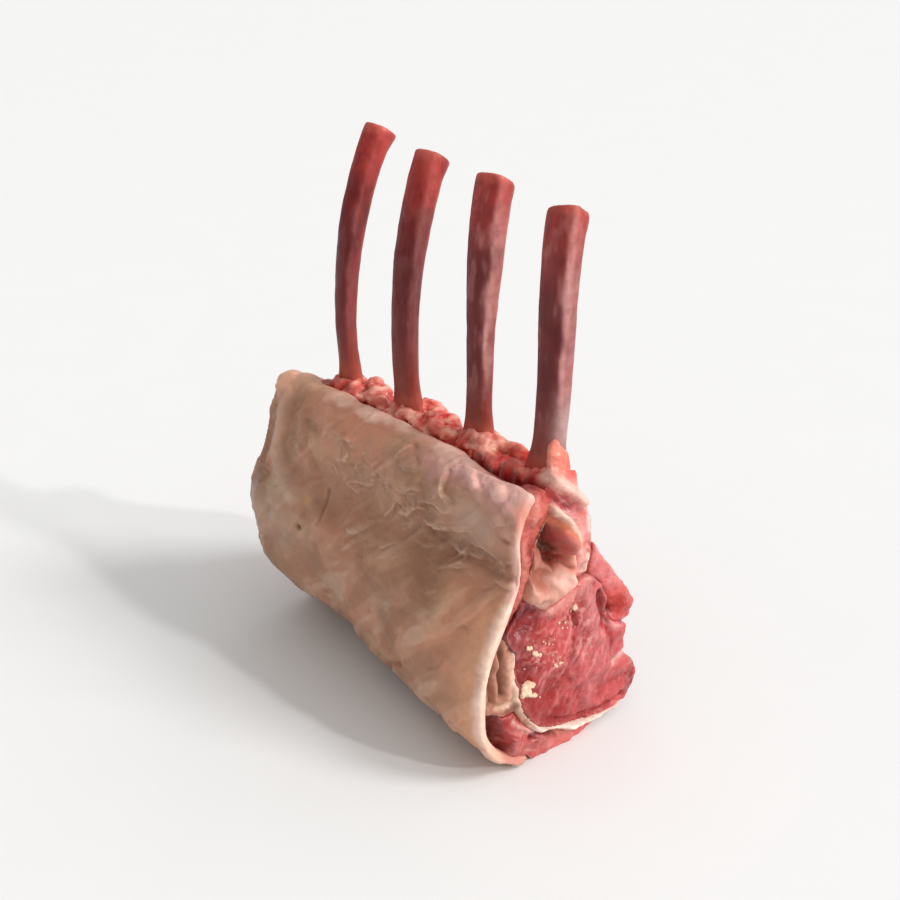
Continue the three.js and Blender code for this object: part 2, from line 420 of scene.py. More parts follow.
def addPaint(tree, vector, colour, look):  # the paint a piece carries, then painted shade in the hollows and pale crests that are partly a painted highlight
    paint = addNode(tree, "Attribute", attribute_name="paint").outputs
    uneven = rescale(tree, noiseOn(tree, vector, 380.0, 3.0), 0.3, 0.6, 0.6, 1.0)
    cover = calculate(tree, "MULTIPLY", paint["Alpha"], uneven, True)
    colour = mixColours(tree, cover, colour, paint["Color"])
    hollow = addNode(tree, "Attribute", attribute_name="hollow").outputs["Fac"]
    depth = look["hollowDepth"]
    colour = tint(tree, colour, look["hollowColour"], hollow, 0.03, depth, look["hollowShare"])
    return tint(tree, colour, look["crestColour"], hollow, -0.05, -depth, look["paleCrestAndHighlightShare"])


def closeMaterial(tree, colour, roughness, height, look):
    relief = {"Height": height, "Strength": look["bump"], "Distance": look["bumpDepth"] * mm}
    values = {
        "Base Color": colour,
        "Roughness": roughness,
        "Normal": addNode(tree, "Bump", relief).outputs["Normal"],
        "Subsurface Weight": look["soft"],
        "Subsurface Radius": look["softRadius"],
        "Subsurface Scale": look["softScale"] * mm,
        "Coat Weight": look["coat"],
        "Coat Roughness": look["coatRoughness"],
        "Specular IOR Level": look["specular"],
    }
    shader = addNode(tree, "BsdfPrincipled", values)
    addNode(tree, "OutputMaterial", {"Surface": shader.outputs["BSDF"]})


leanLook = {
    "bump": 0.6,
    "bumpDepth": 0.6,
    "soft": 0.22,
    "softRadius": (1.0, 0.25, 0.15),
    "softScale": 2.0,
    "coat": 0.12,
    "coatRoughness": 0.12,
    "specular": 0.32,
    "hollowDepth": 0.5,
    # painted shade in the hollows, and pale crests that are partly a painted highlight
    "hollowShare": 0.75,
    "hollowColour": tone(120, 18, 16),
    "paleCrestAndHighlightShare": 0.35,
    "crestColour": tone(236, 160, 150),
}
fatLook = dict(leanLook, bump=0.35, coat=0.06, coatRoughness=0.3, specular=0.3, hollowShare=0.6)
fatLook.update(hollowColour=tone(120, 70, 52), crestColour=tone(236, 206, 186))

filmGroup = buildFilmGroup()
leanKind = {
    "group": buildLeanGroup(),
    "grain": {"Fibre Size": 420.0, "Marbling": 0.3},
    "film": {"Wet": 0.22, "Dry": 0.5, "Size": 170.0},
    "look": leanLook,
}
fatKind = {
    "group": buildFatGroup(),
    "grain": {"Patch Size": 60.0},
    "film": {"Wet": 0.36, "Dry": 0.62, "Size": 120.0},
    "look": fatLook,
}


def fleshMaterial(name, kind, settings):  # settings may change the kind's grain and look
    look = {**kind["look"], **settings.get("look", {})}
    values = {**kind["grain"], **settings.get("grain", {})}
    values.update({part.title(): tone(*colour) for part, colour in settings["colours"].items()})
    material, tree, vector = startMaterial(name)
    flesh = placeGroup(tree, kind["group"], {"Vector": vector, **values})
    wet = placeGroup(tree, filmGroup, {"Vector": vector, **kind["film"]})
    colour = addPaint(tree, vector, flesh["Color"], look)
    closeMaterial(tree, colour, wet["Roughness"], addShare(tree, flesh["Height"], wet["Height"], 0.3), look)
    return material


addCamera()
addLights()
print("camera and light are set")

# A plain pale floor, wide enough to fill the view.
bpy.ops.mesh.primitive_circle_add(vertices=96, radius=4, fill_type="NGON", location=(0, 0, 0))
floor = bpy.context.object
floor.name = "floor"
floorMaterial, floorTree, floorVector = startMaterial("paleFloor")
floorSpeck = noiseOn(floorTree, floorVector, 30.0, 2.0)
floorColour = mixColours(floorTree, floorSpeck, (0.75, 0.75, 0.745, 1), (0.765, 0.765, 0.76, 1))
floorShader = addNode(floorTree, "BsdfPrincipled", {"Base Color": floorColour, "Roughness": 0.7})
addNode(floorTree, "OutputMaterial", {"Surface": floorShader.outputs["BSDF"]})
floor.data.materials.append(floorMaterial)

# Ribs: scraped bone, dark red-brown, redder at the sawn tips, with a pale damp film on the near side that is
# partly a painted sheen where the key light falls, and painted shade on the side turned from the light.
ribSettings = {
    "voxel": 0.42,
    "rounding": 18,
    "places": [-34, -6, 22, 50],
    "paleFilmAndSheen": [0.15, 0.25, 0.8, 0.95],  # how much pale film each rib carries: part damp membrane, part painted sheen on the lit side
    "redness": [1.0, 0.9, 0.55, 0.35],  # how red each rib is
    "shaft": (118, 34, 32),
    "shade": (92, 20, 20),
    "film": (152, 74, 72),
    "wetness": {"Wet": 0.28, "Dry": 0.46, "Size": 200.0},
    "paleAndLitStretch": {  # on some ribs, a pale stretch, partly paler bone and partly painted light toward the key light: (where it starts round the rib, rise, fall, strength, colour)
        3: (-0.6, (112, 128), (156, 146), 0.4, (196, 130, 124)),
        4: (-0.3, (100, 110), (148, 132), 0.5, (176, 116, 114)),
    },
}


def ribMaterial():
    look = dict(leanLook, bump=0.3, bumpDepth=0.25, soft=0.04, coat=0.04, coatRoughness=0.22, paleCrestAndHighlightShare=0.1)
    look.update(specular=0.22, hollowColour=tone(60, 10, 8), hollowShare=0.3, crestColour=tone(190, 120, 112))
    shaft, shade, film = [tone(*ribSettings[part]) for part in ("shaft", "shade", "film")]
    material, tree, vector = startMaterial("scrapedBone")
    streaks = noiseOn(tree, stretched(tree, vector, (1.0, 1.0, 0.1)), 520.0, 4.0, 0.5)
    broad = noiseOn(tree, stretched(tree, vector, (1.0, 1.0, 0.3)), 70.0, 4.0, 0.6)
    colour = tint(tree, tint(tree, shade, shaft, broad, 0.35, 0.65), film, streaks, 0.5, 0.75, 0.35)
    wet = placeGroup(tree, filmGroup, {"Vector": vector, **ribSettings["wetness"]})
    height = addShare(tree, streaks, noiseOn(tree, vector, 1500.0, 2.0), 0.5)
    closeMaterial(tree, addPaint(tree, vector, colour, look), wet["Roughness"], height, look)
    return material


boneMaterial = ribMaterial()


def ribCoats(points, normals, number):
    pale, red = ribSettings["paleFilmAndSheen"][number - 1], ribSettings["redness"][number - 1]
    height = points[:, 2]
    tip = height.max()
    shaft = ramp(height, 94, 104)
    rough = grain(points, 5, number * 3, 3, (1, 1, 2)) * 0.4
    mottle = grain(points, 4.5, number * 17, 3, (1, 1, 2.6))
    # how far each point's normal turns toward the key light, roughened by noise
    towardLight = (normals[:, 0] + normals[:, 1]) * 0.72 + rough * 0.8
    # painted shade on the side turned away from the key light
    shaded = ramp(-towardLight, -0.5, 0.9) * (0.5 + 0.3 * red) * ramp(height, tip - 8, tip - 34)
    # pale film: partly a damp membrane, partly a painted sheen on the side toward the key light
    film = np.exp(-(((towardLight - 0.25) / 0.42) ** 2)) * ramp(height, 92, 112)
    yield ramp(rough, -0.3, 0.4) * 0.45 * red, (146, 14, 16)
    yield shaded, (70 + 22 * red, 10, 8)
    yield film * pale * (0.95 + rough), (216, 160, 154)
    # painted light on the side that faces the key light
    yield ramp(towardLight, 0.6, 1.0) * 0.5, (150, 62, 56)
    yield ramp(height + rough * 12, tip - 26, tip - 2) * (0.45 + 0.35 * red), (180, 58, 50)
    yield ramp(height, tip - 3.5, tip - 1) * 0.45, (222, 108, 94)
    yield ramp(height + rough * 10, 108, 90) * 0.6, (146, 62, 46)
    yield ramp(height + rough * 6, 93, 86) * 0.75, (182, 84, 64)
    yield ramp(mottle, 0.1, 0.5) * pale * 0.35 * shaft, (190, 124, 118)
    yield ramp(-mottle, 0.1, 0.5) * 0.4 * shaft, (88, 16, 18)
    yield spot(points, (55, 3, 99), (3, 8, 8)) * 0.7, (192, 166, 162)  # a pale foot on the last rib
    # a pale stretch that is partly painted light on the side toward the key light
    if number in ribSettings["paleAndLitStretch"]:
        start, rise, fall, strength, colour = ribSettings["paleAndLitStretch"][number]
        yield ramp(towardLight + rough, start, 0.2) * ramp(height, *rise) * ramp(height, *fall) * strength, colour


def makeRib(number, middle):
    rib = copyOfNode(f"rib{number}", f"rib_{number}")
    remesh(rib, ribSettings)
    points, normals = pointsOf(rib), normalsOf(rib)
    points += normals * (grain(points, 9, number * 5, 2, (1, 1, 2.4)) * 0.3 + 0.26)[:, None]
    points += normals * (grain(points, 2.0, number * 9, 2, (1, 1, 3)) * 0.08)[:, None]
    x, _, z = points.T
    x += (x - middle) * (ramp(z, 97, 84) ** 2 * ramp(z, 78, 83) * 0.4)  # a flared foot
    movePoints(rib, points)
    canvas = painted(points, ribCoats(points, normalsOf(rib), number))
    finishPiece(rib, f"rib_{number}", "rib_bone", boneMaterial, canvas)


for ribNumber, ribX in enumerate(ribSettings["places"], 1):
    makeRib(ribNumber, ribX)
print("ribs are made")

# The fat cap: a creased skin of fat with lifted flakes of membrane and a pale rolled rim.
capSettings = {
    "voxel": 0.46,
    "rounding": 5,
    "hiddenShare": 0.12,  # how many of the faces are kept on the side that lies against the meat
    "grain": {"Patch Size": 55.0},
    "look": {"hollowShare": 0.4, "hollowDepth": 0.7, "paleCrestAndHighlightShare": 0.25},
    "colours": {"fat": (190, 146, 118), "shade": (150, 108, 82), "blush": (190, 128, 102)},
    "folds": [  # (path of x and z, width, height)
        (((-49, 80), (-49, 72), (-46, 61), (-40, 57), (-34, 54)), 2, 0.9),
        (((-52, 76), (-54, 66), (-52, 58)), 2.6, -0.9),
        (((-44, 78), (-44, 70), (-41, 63), (-33, 60)), 1.8, -0.6),
        (((-40, 82), (-38, 74), (-34, 67), (-28, 63)), 2, 0.6),
        (((-36, 76), (-33, 69), (-27, 66)), 1.4, -0.5),
        (((-30, 82), (-26, 78), (-19, 76)), 1.8, 0.6),
        (((-48, 54), (-44, 48), (-40, 40)), 3, -0.7),
        (((-19, 60), (-18, 55), (-19, 51)), 0.7, -0.6),
        (((0, 5), (5, 9), (11, 15), (20, 21)), 1.1, -0.7),
        (((36, 29), (40, 31.5), (43, 34.5)), 0.7, -0.5),
        (((25, 64), (31, 63.5), (36, 62)), 1.6, -1),
        (((33, 60.5), (42, 60.5), (50, 61.5), (57, 62)), 1.4, -0.9),
        (((11, 83), (13, 81.5), (17, 80)), 0.9, -0.4),
    ],
    "flaps": [  # (path of x and z, reach, height)
        (((27, 86), (27.6, 82), (30, 77.5), (35, 76)), 5, 1.2),
        (((34, 68.5), (30, 66.4), (26, 66.6), (22, 65)), 4, 1.1),
        (((35, 74), (32, 72), (28, 73), (24.5, 72.5), (20, 71)), 3, 0.8),
        (((22, 75), (18, 74.3), (14, 71), (11, 70)), 3, 0.8),
        (((14, 70), (10.5, 67), (8, 63), (6, 61)), 3.2, 0.7),
        (((24, 70), (19, 68), (16, 65.5), (12, 64)), 3, 0.7),
        (((8, 72), (4, 70.5), (0, 71.5), (-5, 69)), 2.4, 0.6),
        (((0, 68), (-4, 66.5), (-8, 66.5), (-13, 64.5)), 2.4, 0.6),
        (((-8, 77), (-12, 75.5), (-17, 76.5), (-21, 74)), 2.4, 0.5),
        (((-12, 72), (-17, 70), (-21, 70.5)), 2, 0.5),
        (((3.5, 58.5), (0, 55.5), (-3, 53), (-6, 53.5), (-8, 56)), 2.4, 0.7),
        (((15, 57), (12, 55.5), (9, 53), (7, 53)), 1.6, 0.5),
        (((46, 62.5), (40, 61.5), (35, 61.5), (31, 62.5)), 3, 0.7),
        (((56, 66), (51, 65), (46, 66.5), (40, 66)), 3, 0.5),
        (((57, 78), (53, 76.5), (50, 77.5)), 2, 0.6),
        (((18, 78.5), (13, 77.5), (8, 78), (5, 76)), 2.4, 0.5),
        (((40, 58), (35, 57), (31, 55)), 1.6, 0.35),
        (((28, 60), (23, 58), (19, 58.5)), 1.6, 0.35),
        (((50, 47), (46, 46.5), (43, 44)), 1.4, 0.3),
        (((8, 37), (6, 36), (5, 34)), 1, 0.35),
        (((34, 50.5), (31, 49.5), (29, 50.5)), 1, 0.4),
    ],
    "smallFlaps": 64,
    "tornBand": ((-22, 72), (-10, 70), (2, 69), (14, 70), (26, 72), (36, 68), (50, 65)),
    "beads": [
        ((38, -15.4, 82.3), (4.6, 1.4, 1.5), (0, 14, -24)),
        ((42.8, -17, 80.6), (3.3, 1.3, 1.5), (0, 18, -18)),
        ((29.5, -13.6, 82.8), (2.6, 1.6, 1.2), (0, -10, 0)),
        ((34, -13.4, 83.6), (3.2, 1.8, 1.4), (0, 0, -10)),
        ((49, -15.4, 82.8), (4, 2.3, 2.4), (0, 24, -10)),
        ((54.2, -16.6, 80.4), (2.8, 2.2, 2.2), (0, 10, 0)),
        ((52.4, -18, 77.6), (2.4, 1.7, 1.9), (0, 30, 0)),
        ((55.2, -18.6, 75), (2, 1.6, 1.8), (0, 0, 0)),
        ((57, -13.6, 84), (1.9, 2, 2.2), (0, 0, 0)),
        ((57.2, -15.6, 80.6), (1.6, 1.8, 1.6), (20, 0, 0)),
        ((56.6, -16.6, 77.2), (1.6, 1.5, 1.9), (-10, 0, 0)),
    ],
    "lip": [
        ((-53, -8, 80), (5, 5.4, 5.4), (0, 20, 0)),
        ((-46.5, -6.4, 81.6), (7, 4.6, 3.6), (0, 4, 0)),
    ],
    "rolls": 17,
    "innerEdge": [  # y and z
        (-14.2, 86), (-16.8, 79), (-18.2, 72), (-17, 64),
        (-18.3, 58.4), (-22, 51.2), (-24.6, 46.4), (-29, 36),
    ],  # fmt: skip
    "wideMarks": [  # (place and radii, or path of x and z and width, strength, colour)
        ((16, -24, 61), (44, 14, 8), 0.75, (142, 98, 72)),  # painted shade, brown, below the flakes
        ((43, -19, 73), (9, 10, 7), 0.75, (178, 146, 132)),  # a grey sheet of membrane
        # painted shade under the overhanging flake edges
        ((42, -20, 64), (20, 10, 3), 0.6, (118, 76, 56)),
        # painted shade where the far end curls round away from the light
        (((-58, 70), (-56, 56), (-50, 52)), 5, 0.7, (134, 90, 66)),
        (((-49, 80), (-49, 72), (-46, 61), (-40, 57), (-34, 54)), 2.4, 0.6, (204, 170, 150)),
        ((-42, -24, 45), (12, 30, 9), 0.6, (172, 150, 130)),  # greyer far end
        (((-60, 24), (-46, 14), (-20, 10), (6, 4)), 8, 0.7, (146, 102, 70)),
        (((0, 5), (5, 9), (11, 15), (20, 21)), 1.4, 0.7, (150, 88, 58)),
        (((-19, 60), (-18, 52)), 1, 0.6, (136, 86, 68)),
    ],
    "smallMarks": [
        ((-51, -10, 79), (3, 8, 2.4), 0.8, (156, 88, 62)),
        ((-53, -8, 84), (8, 9, 4.4), 1, (250, 188, 158)),
        ((-28, -24, 46.5), (2.2, 8, 1.4), 0.8, (160, 116, 66)),  # a small brown pit
        ((-28, -24, 46.5), (1.1, 8, 0.8), 1.2, (98, 40, 16)),
        ((-26.5, -22, 55), (1.6, 5, 1.2), 0.7, (196, 152, 98)),
    ],
}


def smallFlaps():  # short lifted edges scattered over the torn band, most of them running up to the right
    flaps = []
    for _ in range(capSettings["smallFlaps"]):
        x = between(-26, 56)
        z = float(np.interp(x, (-26, 0, 26, 56), (74, 70, 69, 62))) + random.gauss(0, 5)
        length, angle = between(2.5, 7.0), math.radians(random.gauss(28, 30))
        run = np.array((math.cos(angle), math.sin(angle))) * length / 2
        bend = between(-0.25, 0.25) * length
        path = ((x + run[0], z + run[1]), (x - run[1] / length * bend, z + bend), (x - run[0], z - run[1]))
        flaps.append((path, between(1.0, 2.6), between(0.2, 0.55)))
    return flaps


def rimRoll():  # soft lumps that roll the rim over towards the meat
    rolls = []
    for step in range(capSettings["rolls"]):
        x = -44 + step * 5.4 + between(-1, 1)
        back = float(np.interp(x, (-45, 0, 28, 44), (-7.6, -8.4, -9.8, -11.0)))
        place = (x, back + between(-0.4, 0.4), 82.0 + between(-0.3, 0.4))
        radii = (between(8, 12), 3.6, between(2.6, 3.1))
        rolls.append((place, radii, (0, between(-5, 5), 0)))
    return rolls


def streakedSkin(points):  # broad soft bands that run up to the right
    onward = (points[:, 0] + points[:, 2]) * 0.72
    across = (points[:, 2] - points[:, 0]) * 0.72
    return grain(np.stack([across, onward / 4, points[:, 1] * 0.4], 1), 7, 61, 3)


def tornSheets(values):  # rises slowly and drops at once, again and again, like overlapping sheets
    return values - np.floor(values)


def shapeCap(points, normals, flaps):
    x, _, z = points.T
    flat = points[:, [0, 2]] + wandering(points, 12, (3, 8), 3, 1.6)
    away = grain(points, 26, 1, 3) * 1.2 + grain(points, 6, 4, 2) * 0.22
    for path, width, height in capSettings["folds"]:
        away += along(flat, path, width) * height
    for path, reach, height in flaps:
        away += lifted(flat, path, reach) * height * 1.3
    band = along(flat, capSettings["tornBand"], 8.0)
    sheets = tornSheets(grain(points, 15, 21, 2, (1.5, 1, 0.7)) * 2.2 + z * 0.05 - x * 0.04)
    shreds = tornSheets(grain(points, 7, 31, 2, (1.5, 1, 0.7)) * 1.8)
    away += band * ((sheets - 0.5) * 0.3 + ramp(grain(points, 10, 41, 2), -0.1, 0.3) * (shreds - 0.5) * 0.4)
    away += (1 - band) * ramp(grain(points, 20, 71, 2), 0.05, 0.4) * (shreds - 0.5) * 0.22
    away -= spot(points, (-28, -24, 46.5), (1.1, 8, 0.8)) * 1.1
    away += ramp(z, 34, 16) * 0.8 + ramp(streakedSkin(points), 0.1, 0.5) * 0.5
    points += normals * (away * (0.25 + 0.75 * ramp(-normals[:, 1], 0.0, 0.5)))[:, None]


def markCoats(points, marks):  # a mark is a spot at a place, or a stroke along a path of x and z
    flat = points[:, [0, 2]]
    for where, size, strength, colour in marks:
        cover = along(flat, where, size) if isinstance(where[0], tuple) else spot(points, where, size)
        yield cover * strength, colour


def capCoats(points, flaps):
    x, y, z = points.T
    rough = grain(points, 9, 51, 4) * 1.2
    skin = streakedSkin(points) * ramp(z, 62, 50)
    yield ramp(skin, 0.08, 0.4) * 0.5, (196, 166, 142)
    yield ramp(-skin, 0.08, 0.4) * 0.5, (140, 96, 68)
    yield ramp(z + rough * 6, 70, 79) * ramp(x, -44, -30) * ramp(x, 8, -6) * 0.7, (206, 136, 110)  # salmon
    yield spot(points, (-10, -22, 72), (14, 12, 6)) * ramp(rough, -0.3, 0.4) * 0.5, (206, 140, 120)
    yield ramp(z + rough * 4, 77, 82) * ramp(x, 6, 20) * 0.7, (204, 146, 138)  # pink below the rim
    yield from markCoats(points, capSettings["wideMarks"])
    yield ramp(x + rough * 6, 30, 54) * ramp(z, 62, 50) * 0.8, (208, 142, 110)  # warmer towards the cut
    yield from markCoats(points, capSettings["smallMarks"])
    yield ramp(z + rough * 2, 82.6, 84.4) * ramp(x, -34, -26) * 0.75, (234, 190, 172)  # the rim: pale fat, partly a painted highlight along the top
    # a pale pink edge along the rim, partly a painted highlight
    yield ramp(z + rough * 2, 81.6, 83.6) * ramp(x, 20, 32) * 0.7, (208, 158, 154)
    # each flap gets a lip that is partly a painted highlight, and a painted shadow below it
    for path, _, height in flaps:
        lip, shadow = torn(points[:, [0, 2]], path)
        yield lip * min(0.5, height * 0.7), (206, 172, 150)
        yield shadow * min(0.35, height * 0.45), (122, 84, 62)
    yield ramp(y + rough * 0.4, -11.2, -10.2) * ramp(x, 35, 41) * ramp(z, 80, 83), (104, 14, 8)  # painted shade on the rim by the gap
    for place, radii, _ in capSettings["beads"]:
        yield spot(points, place, Vector(radii) * 0.9) * 0.8, (222, 168, 162)
    yield spot(points, (55.5, -19.4, 72.6), (2.4, 3, 0.8)) * 1.2, (130, 60, 50)
    yield ramp(x + rough, 46, 55) * ramp(z, 60, 48) * 0.7, (218, 160, 124)  # paler towards the cut
    inner = along(points[:, 1:], capSettings["innerEdge"], 1.1)
    yield inner * ramp(x, 55, 57) * ramp(z, 34, 44), (232, 190, 176)
    yield ramp(x + rough * 0.8, 54.4, 57.8) * ramp(z, 60, 53) * (0.5 + 0.4 * ramp(z, 6, 24)), (236, 204, 186)
    yield ramp(x + rough * 0.6, 54, 57) * ramp(z, 20, 10) * 0.45, (190, 128, 104)
    yield ramp(x, 56, 57.6) * spot(points, (58, -16, 80), (4, 4, 5)) * 0.8, (214, 120, 106)
    yield ramp(x, 54, 57) * ramp(y + rough, -24, -20) * ramp(z, 14, 8) * 0.7, (184, 70, 62)


def makeFatCap():
    cap = copyOfNode("fatCap", "fat_cap")
    addClay(cap, capSettings["beads"] + capSettings["lip"] + rimRoll())
    remesh(cap, capSettings)
    hidden = lambda middle, normal: normal.y > 0.3 and middle.x < 50 and middle.z < 78
    editFaces(cap, hidden, bpy.ops.mesh.decimate, ratio=capSettings["hiddenShare"])
    points = pointsOf(cap)
    x, y, z = points.T
    z -= ramp(y, -12.6, -10.6) * ramp(x, 28, 38) * ramp(z, 79, 83) * 2.4  # the rim sinks towards the gap
    soft = neighbourMean(cap, points, 22) + np.array((0.6, 0, 0))
    points += (soft - points) * (ramp(x, 52, 56) * 0.9)[:, None]  # rolls the cut edge
    movePoints(cap, points)
    flaps = capSettings["flaps"] + smallFlaps()
    shapeCap(points, normalsOf(cap), flaps)
    movePoints(cap, points)
    material = fleshMaterial("capFat", fatKind, capSettings)
    finishPiece(cap, "fat_cap", "fat_cap", material, painted(points, capCoats(points, flaps)))


makeFatCap()
print("fat cap is made")

# Layers that show at the near cut end. Relief and strokes lie on the cut face, along paths of y and z:
# relief is (path, width, height) and strokes are (path, width, strength, colour).
layerShape = {"voxel": 0.62, "rounding": 3, "fineFrom": 52}  # the cut face has finer faces
capLean = {
    "name": "capLean",
    "node": "cap_lean",
    "colours": {"lean": (184, 84, 74), "deep": (136, 34, 28), "pale": (214, 134, 118)},
    "relief": [(((-14, 66), (-13, 56)), 1.6, 0.7), (((-13, 78), (-9, 80)), 2.4, 1.4)],
    "strokes": [
        (((-13, 80), (-8, 79), (-6.5, 76)), 1.8, 0.8, (186, 84, 70)),
        (((-12, 84), (-13, 78)), 1.4, 0.7, (210, 132, 118)),
        (((-15.5, 72), (-14.6, 62), (-16, 54)), 1, 0.6, (204, 132, 116)),
    ],
}
seamFat = {
    "name": "seamFat",
    "node": "seam_fat",
    "fat": True,
    "colours": {"fat": (190, 134, 114), "shade": (162, 92, 74), "blush": (188, 104, 88)},
    "relief": [
        (((-7.4, 71.5), (-4.6, 65.4), (-1, 61.4)), 3.4, -5.4),
        (((-8.4, 72.4), (-7.4, 69)), 1.8, -1.8),
        (((-6, 63.6), (-2.6, 61.4), (1.6, 58.6)), 1, -1.6),
        (((-2.8, 68.8), (-0.8, 65)), 2.9, 6.4),
        (((-7.6, 80.4), (-3.5, 77), (1.2, 71.8), (3.4, 66), (2.8, 60)), 1.7, 1.8),
        (((-12, 61.6), (-8, 60)), 1.8, -1.6),
        (((-12.5, 56), (-7, 53.4), (0, 55.5)), 2.8, 3.6),
        (((-3, 59), (0.6, 57.4)), 1, 0.8),
    ],
    "strokes": [
        # darker red-brown over the bowl, partly painted shade in the hollow
        (((-7.4, 72), (-4.6, 65.4), (-1, 61.4)), 3.8, 1, (124, 38, 28)),
        (((-3.2, 69.2), (-0.8, 65.2)), 3, 1.3, (172, 70, 64)),
        # painted light on the knob's lower right
        (((0.4, 65.4), (0.9, 63)), 1.2, 0.8, (208, 128, 108)),
        # painted shadow in the upper-left corner of the bowl
        (((-8.6, 73), (-6.8, 68), (-5.4, 64.6)), 1.6, 1.4, (56, 4, 2)),
        # painted shade in the groove below the knob
        (((-6, 63.8), (-2.6, 61.4), (0, 59.8)), 1, 1.3, (130, 12, 8)),
        (((-0.4, 60), (1.8, 58.2)), 1.1, 1.2, (204, 48, 30)),
        # painted shade above the lump
        (((-12.8, 62), (-8, 60.4), (-3.6, 58.4)), 2, 1.1, (140, 68, 48)),
        # a pale fat ridge, partly a painted highlight
        (((-7.4, 80.2), (-3.5, 77), (0.8, 72), (2.8, 67.4)), 1.1, 1.1, (232, 192, 174)),
        (((2.8, 66), (2.6, 60)), 1.4, 0.9, (226, 160, 138)),
        (((-6.4, 75.6), (-2.4, 73), (1.4, 68), (1.8, 62.4)), 1, 0.9, (208, 112, 80)),
        (((-13.5, 57), (-9, 54), (-3, 54), (0.6, 55.6)), 2.2, 0.9, (196, 138, 120)),
        # painted shadow on the top of the lump
        (((-13, 60.4), (-9, 58.4), (-5.6, 57)), 1.8, 0.9, (150, 82, 62)),
        (((-13, 53.4), (-8, 50.8), (-3, 51.6), (1.4, 55)), 1.1, 0.9, (222, 176, 158)),
        # a pale patch on the lump's lower right, partly a painted highlight
        (((-4.6, 56.6), (0.4, 57.2)), 2, 0.8, (234, 190, 174)),
    ],
}
ribMeat = {
    "name": "ribMeat",
    "node": "rib_meat",
    "scraps": 22,
    "pitted": 0.12,
    "look": {
        "paleCrestAndHighlightShare": 0.22,
        "crestColour": tone(246, 176, 156),
        "hollowShare": 0.85,
        "hollowDepth": 0.6,
        "hollowColour": tone(124, 8, 6),
        "specular": 0.2,
        "coat": 0.2,
        "coatRoughness": 0.14,
    },
    "colours": {"lean": (206, 98, 90), "deep": (150, 30, 26), "pale": (230, 156, 146)},
    "relief": [
        (((-5.5, 87), (-2, 84), (2.4, 81), (6, 77)), 1.8, 2.2),
        (((-9, 85), (-4.4, 81), (0, 77)), 1.6, -1.4),
        (((5, 70), (5, 60)), 2.4, 1),
        (((8.4, 62), (8, 55)), 0.8, 0.9),
    ],
    "strokes": [
        (((-9, 86), (-3, 82), (2, 78.5)), 1.4, 1.2, (164, 26, 18)),
        (((-3.5, 80), (0.5, 77), (4, 73)), 1.6, 0.9, (170, 78, 88)),
        (((-5.5, 87.4), (-2, 84.4), (2.4, 81.4), (6.2, 77.4)), 2, 1.1, (232, 190, 174)),
        (((1.5, 72), (5.4, 68), (6.2, 60), (5, 56)), 3.2, 0.85, (228, 166, 158)),
        (((8, 74), (9.2, 67)), 0.8, 0.8, (238, 204, 196)),
        (((8.2, 61), (8.3, 58), (7.2, 54.6)), 0.7, 1.1, (240, 214, 198)),
        (((9.2, 63.5), (9.6, 58), (8.4, 54.4)), 0.6, 0.9, (160, 56, 48)),
        (((2, 57.4), (4, 56)), 1.2, 0.8, (206, 110, 86)),
    ],
    "streaks": (-45, 1, (-3, 76), (10, 9), (232, 196, 188)),
}
chineMuscle = {
    "name": "chineMuscle",
    "node": "chine_muscle",
    "colours": {"lean": (192, 78, 74), "deep": (152, 34, 30), "pale": (216, 130, 124)},
    "relief": [(((13.6, 47), (15.6, 42), (19, 37.4)), 1.8, -2.6), (((24, 40), (26.5, 37)), 2.2, 1.6)],
    "strokes": [
        # painted shade in the crease
        (((13.4, 48), (15.6, 43), (19, 38)), 2, 1.5, (96, 6, 4)),
        (((17, 44), (21, 40), (24, 37)), 2.6, 0.9, (182, 44, 30)),
        (((11, 60), (15.5, 53), (20, 47)), 3, 0.9, (214, 122, 120)),
    ],
}
